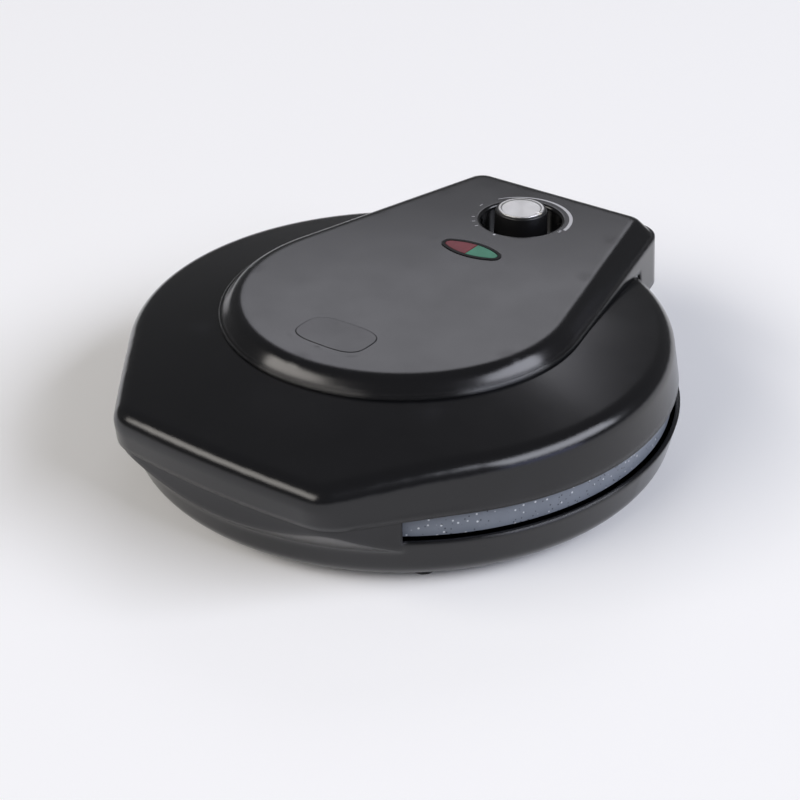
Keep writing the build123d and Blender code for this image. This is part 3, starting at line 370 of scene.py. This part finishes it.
dullSolids = {
    # cured nitrile rubber: soft black with a grey bloom
    "black_rubber": {"name": "nitrile_rubber_moulded", "colour": "#131313", "dust": "#2b2a29",
                     "roughness": 0.62, "grainMm": 0.6, "depthMm": 0.02},
    # pressed steatite washers, unglazed
    "washer_ceramic": {"name": "steatite_pressed", "colour": "#d6d0c3", "dust": "#bfb8aa",
                       "roughness": 0.7, "grainMm": 0.5, "depthMm": 0.015},
}
bloomPatches = {"sizeMm": 5, "low": 0.42, "high": 0.75}


def dullSolid(look):
    material, tree = newTree(look["name"])
    place = addNode(tree, "TexCoord").outputs["Object"]
    bloom = addNode(tree, "TexNoise", {}, {
        "Vector": place, "Scale": perMetre(bloomPatches["sizeMm"]), "Detail": 5})
    amount = addNode(tree, "MapRange", {}, {
        "Value": bloom.outputs[0], "From Min": bloomPatches["low"], "From Max": bloomPatches["high"]})
    colour = addNode(tree, "Mix", {"data_type": "RGBA"}, {
        0: amount.outputs[0], 6: hexLinear(look["colour"]), 7: hexLinear(look["dust"])})
    grain = addNode(tree, "TexNoise", {}, {"Vector": place, "Scale": perMetre(look["grainMm"]), "Detail": 2})
    bump = addNode(tree, "Bump", {}, {
        "Strength": 1, "Distance": look["depthMm"] / 1000, "Height": grain.outputs[0]})
    shader = addNode(tree, "BsdfPrincipled", {}, {
        "Base Color": colour.outputs[2], "Roughness": look["roughness"], "Normal": bump.outputs[0]})
    addNode(tree, "OutputMaterial", {}, {"Surface": shader.outputs[0]})
    return material


finishes.update({slot: dullSolid(look) for slot, look in dullSolids.items()})

# lenses and lamps

tintedLenses = {
    # moulded tinted polycarbonate, etched outside with a few wide ribs: dark when unlit, with a soft sheen
    "red_lens": {"name": "polycarbonate_tinted_red", "colour": "#7e2a34", "edge": "#5a1822"},
    "green_lens": {"name": "polycarbonate_tinted_green", "colour": "#438e73", "edge": "#2b6a53"},
}
lensSurface = {
    "ribMm": 7.54, "ribWobble": 0.4, "ribDepthMm": 0.01, "cloudMm": 6,
    "roughness": 0.42, "ior": 1.5, "transmission": 0.1,
}


def tintedLens(look):
    material, tree = newTree(look["name"])
    place = addNode(tree, "TexCoord").outputs["Object"]
    ribs = addNode(tree, "TexWave", {"bands_direction": "X"}, {  # a wave's scale of 1 is 2 pi / 20 long
        "Vector": place, "Scale": perMetre(lensSurface["ribMm"]) * 2 * math.pi / 20,
        "Distortion": lensSurface["ribWobble"]})
    cloud = addNode(tree, "TexNoise", {}, {
        "Vector": place, "Scale": perMetre(lensSurface["cloudMm"]), "Detail": 3})
    colour = addNode(tree, "Mix", {"data_type": "RGBA"}, {
        0: cloud.outputs[0], 6: hexLinear(look["edge"]), 7: hexLinear(look["colour"])})
    bump = addNode(tree, "Bump", {}, {
        "Strength": 1, "Distance": lensSurface["ribDepthMm"] / 1000, "Height": ribs.outputs[0]})
    shader = addNode(tree, "BsdfPrincipled", {}, {
        "Base Color": colour.outputs[2], "Roughness": lensSurface["roughness"], "IOR": lensSurface["ior"],
        "Transmission Weight": lensSurface["transmission"], "Normal": bump.outputs[0]})
    addNode(tree, "OutputMaterial", {}, {"Surface": shader.outputs[0]})
    return material


finishes.update({slot: tintedLens(look) for slot, look in tintedLenses.items()})

bulb = {"colour": "#f4efe6", "streakMm": 4, "streakDepthMm": 0.02, "roughness": 0.04, "ior": 1.52}


def blownGlass(look):
    # soda-lime neon bulbs, blown: clear, faintly warm, with slight streaks
    material, tree = newTree("soda_glass_blown")
    place = addNode(tree, "TexCoord").outputs["Object"]
    streak = addNode(tree, "TexNoise", {}, {"Vector": place, "Scale": perMetre(look["streakMm"])})
    bump = addNode(tree, "Bump", {}, {
        "Strength": 1, "Distance": look["streakDepthMm"] / 1000, "Height": streak.outputs[0]})
    shader = addNode(tree, "BsdfPrincipled", {}, {
        "Base Color": hexLinear(look["colour"]), "Roughness": look["roughness"], "IOR": look["ior"],
        "Transmission Weight": 1, "Normal": bump.outputs[0]})
    addNode(tree, "OutputMaterial", {}, {"Surface": shader.outputs[0]})
    return material


finishes["lamp_glass"] = blownGlass(bulb)

for part in frame["record"]["subparts"]:
    piece = nodes[part["node"]]
    if not piece.material_slots:
        piece.data.materials.append(None)
    for slot in piece.material_slots:
        slot.material = finishes[part["material_slot"]]
print("finishes on all CAD pieces")

# printed scale round the knob

dial = {
    "centre": (0, 128.4), "top": 98.5, "thickness": 0.03,  # mm
    "wedgeFrom": 150, "wedgeTo": 2, "wedgeSteps": 48,  # degrees from +X
    "wedgeOuter": 33.8, "thinEnd": 0.4, "thickEnd": 2.2, "growth": 1.6,
    "dotRadius": 0.9, "dotAt": 30.5, "dotTurn": -91, "dotSides": 20,
    "ticks": (-150, -137, -124), "tickInner": 30.2, "tickOuter": 32.4, "tickWidth": 0.6,
    "numeralSize": 4.4, "numerals": {"1": (-33.0, 2.2), "5": (31.2, -2.2)},
    "inkThin": "#a9a9ad", "inkFull": "#c9c9cc", "inkPatch": 1.2, "inkRoughness": 0.5,
}


def printedInk():
    # pad-printed ink: pale grey, matt, slightly thin in places
    material, tree = newTree("ink_pad_printed_pale_grey")
    place = addNode(tree, "TexCoord").outputs["Object"]
    thin = addNode(tree, "TexNoise", {}, {"Vector": place, "Scale": perMetre(dial["inkPatch"]), "Detail": 3})
    colour = addNode(tree, "Mix", {"data_type": "RGBA"}, {
        0: thin.outputs[0], 6: hexLinear(dial["inkThin"]), 7: hexLinear(dial["inkFull"])})
    shader = addNode(tree, "BsdfPrincipled", {}, {
        "Base Color": colour.outputs[2], "Roughness": dial["inkRoughness"]})
    addNode(tree, "OutputMaterial", {}, {"Surface": shader.outputs[0]})
    return material


ink = printedInk()


def onDial(radius, degrees):
    turn = math.radians(degrees)
    return dial["centre"][0] + radius * math.cos(turn), dial["centre"][1] + radius * math.sin(turn)


def addPrint(name, outlines):
    printed = bmesh.new()
    for outline in outlines:
        corners = [printed.verts.new((x / 1000, y / 1000, dial["top"] / 1000)) for x, y in outline]
        printed.faces.new(corners)
    sheet = bmesh.ops.extrude_face_region(printed, geom=printed.faces[:])
    raised = [v for v in sheet["geom"] if isinstance(v, bmesh.types.BMVert)]
    bmesh.ops.translate(printed, verts=raised, vec=(0, 0, dial["thickness"] / 1000))
    bmesh.ops.recalc_face_normals(printed, faces=printed.faces[:])
    mesh = bpy.data.meshes.new(name)
    printed.to_mesh(mesh)
    printed.free()
    mesh.materials.append(ink)
    obj = bpy.data.objects.new(name, mesh)
    bpy.context.collection.objects.link(obj)
    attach(obj, "lid")


wedgeOuter, wedgeInner = [], []
for step in range(dial["wedgeSteps"] + 1):
    share = step / dial["wedgeSteps"]
    degrees = dial["wedgeFrom"] + (dial["wedgeTo"] - dial["wedgeFrom"]) * share
    width = dial["thinEnd"] + (dial["thickEnd"] - dial["thinEnd"]) * min(1, share * dial["growth"])
    wedgeOuter.append(onDial(dial["wedgeOuter"], degrees))
    wedgeInner.append(onDial(dial["wedgeOuter"] - width, degrees))
addPrint("dial_wedge", [wedgeOuter + wedgeInner[::-1]])

dotX, dotY = onDial(dial["dotAt"], dial["dotTurn"])
dotTurns = [2 * math.pi * k / dial["dotSides"] for k in range(dial["dotSides"])]
dot = [(dotX + dial["dotRadius"] * math.cos(a), dotY + dial["dotRadius"] * math.sin(a)) for a in dotTurns]
tickTurn = math.degrees(dial["tickWidth"] / 2 / dial["tickOuter"])
ticks = [[onDial(dial["tickInner"], a - tickTurn), onDial(dial["tickOuter"], a - tickTurn),
          onDial(dial["tickOuter"], a + tickTurn), onDial(dial["tickInner"], a + tickTurn)]
         for a in dial["ticks"]]
addPrint("dial_marks", [dot] + ticks)

for numeral, (dx, dy) in dial["numerals"].items():
    text = bpy.data.curves.new("numeral_" + numeral, "FONT")
    text.body = numeral
    text.size = dial["numeralSize"] / 1000
    text.align_x = "CENTER"
    text.align_y = "CENTER"
    text.extrude = dial["thickness"] / 2000
    text.materials.append(ink)
    obj = bpy.data.objects.new("numeral_" + numeral, text)
    bpy.context.collection.objects.link(obj)
    obj.location = ((dial["centre"][0] + dx) / 1000, (dial["centre"][1] + dy) / 1000,
                    (dial["top"] + dial["thickness"] / 2) / 1000)
    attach(obj, "lid")
print("printed scale made")

# badge pad with turned corners, and the ledge that fills its pocket's corners

badge = {
    "centre": (0, -67.5), "top": 98.75, "edgeLevel": 98.45, "bottom": 97.7,  # mm
    "halfLength": 24.2, "halfWidth": 15.2, "power": 3.3, "rounding": 0.35, "gap": 0.25, "steps": 96,
    "pocketLength": 24.7, "pocketWidth": 15.7, "pocketCorner": (21.7, 13.9), "sideSteps": 16,  # half sizes
    "ledgeTop": 98.49,
}


def padOutline(grow):
    # an oval with flattened sides: the power sets how square its corners are
    corners = []
    for step in range(badge["steps"]):
        turn = 2 * math.pi * step / badge["steps"]
        x, y = math.cos(turn), math.sin(turn)
        corners.append((
            math.copysign(abs(x) ** (2 / badge["power"]), x) * (badge["halfLength"] + grow),
            math.copysign(abs(y) ** (2 / badge["power"]), y) * (badge["halfWidth"] + grow)))
    return corners


def bowedSide(start, middle, end):
    # points on the circle through three points, without the last
    (ax, ay), (bx, by), (cx, cy) = start, middle, end
    d = 2 * (ax * (by - cy) + bx * (cy - ay) + cx * (ay - by))
    a, b, c = ax * ax + ay * ay, bx * bx + by * by, cx * cx + cy * cy
    ox = (a * (by - cy) + b * (cy - ay) + c * (ay - by)) / d
    oy = (a * (cx - bx) + b * (ax - cx) + c * (bx - ax)) / d
    first, last = math.atan2(ay - oy, ax - ox), math.atan2(cy - oy, cx - ox)
    sweep = (last - first + math.pi) % (2 * math.pi) - math.pi
    radius = math.hypot(ax - ox, ay - oy)
    turns = [first + sweep * k / badge["sideSteps"] for k in range(badge["sideSteps"])]
    return [(ox + radius * math.cos(a), oy + radius * math.sin(a)) for a in turns]


def pocketOutline():
    x, y = badge["pocketCorner"]
    long, wide = badge["pocketLength"], badge["pocketWidth"]
    return (bowedSide((x, -y), (long, 0), (x, y)) + bowedSide((x, y), (0, wide), (-x, y))
            + bowedSide((-x, y), (-long, 0), (-x, -y)) + bowedSide((-x, -y), (0, -wide), (x, -y)))


def ring(mesh, outline, z):
    x0, y0 = badge["centre"]
    return [mesh.verts.new(((x + x0) / 1000, (y + y0) / 1000, z / 1000)) for x, y in outline]


def join(mesh, low, high):
    for k in range(len(low)):
        mesh.faces.new((low[k - 1], low[k], high[k], high[k - 1]))


def closeLoops(mesh, loops):
    edges = [mesh.edges.get((loop[k - 1], loop[k])) for loop in loops for k in range(len(loop))]
    bmesh.ops.triangle_fill(mesh, edges=edges, use_beauty=True)


def addMoulding(name, mesh, slot):
    bmesh.ops.recalc_face_normals(mesh, faces=mesh.faces[:])
    data = bpy.data.meshes.new(name)
    mesh.to_mesh(data)
    mesh.free()
    data.materials.append(finishes[slot])
    obj = bpy.data.objects.new(name, data)
    bpy.context.collection.objects.link(obj)
    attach(obj, "lid")
    return obj


mesh = bmesh.new()
low, middle = ring(mesh, padOutline(0), badge["bottom"]), ring(mesh, padOutline(0), badge["edgeLevel"])
top = ring(mesh, padOutline(-badge["rounding"]), badge["top"])
join(mesh, low, middle)
join(mesh, middle, top)
mesh.faces.new(top)
mesh.faces.new(low[::-1])
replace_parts(addMoulding("badge_pad_turned", mesh, "badge_plastic"), "badge_pad")

mesh = bmesh.new()
outer = [ring(mesh, pocketOutline(), z) for z in (badge["bottom"], badge["ledgeTop"])]
inner = [ring(mesh, padOutline(badge["gap"]), z) for z in (badge["bottom"], badge["ledgeTop"])]
join(mesh, outer[0], outer[1])
join(mesh, inner[1], inner[0])
closeLoops(mesh, [outer[0], inner[0]])
closeLoops(mesh, [outer[1], inner[1]])
addMoulding("badge_pocket_ledge", mesh, "black_plastic")
print("badge pad made")
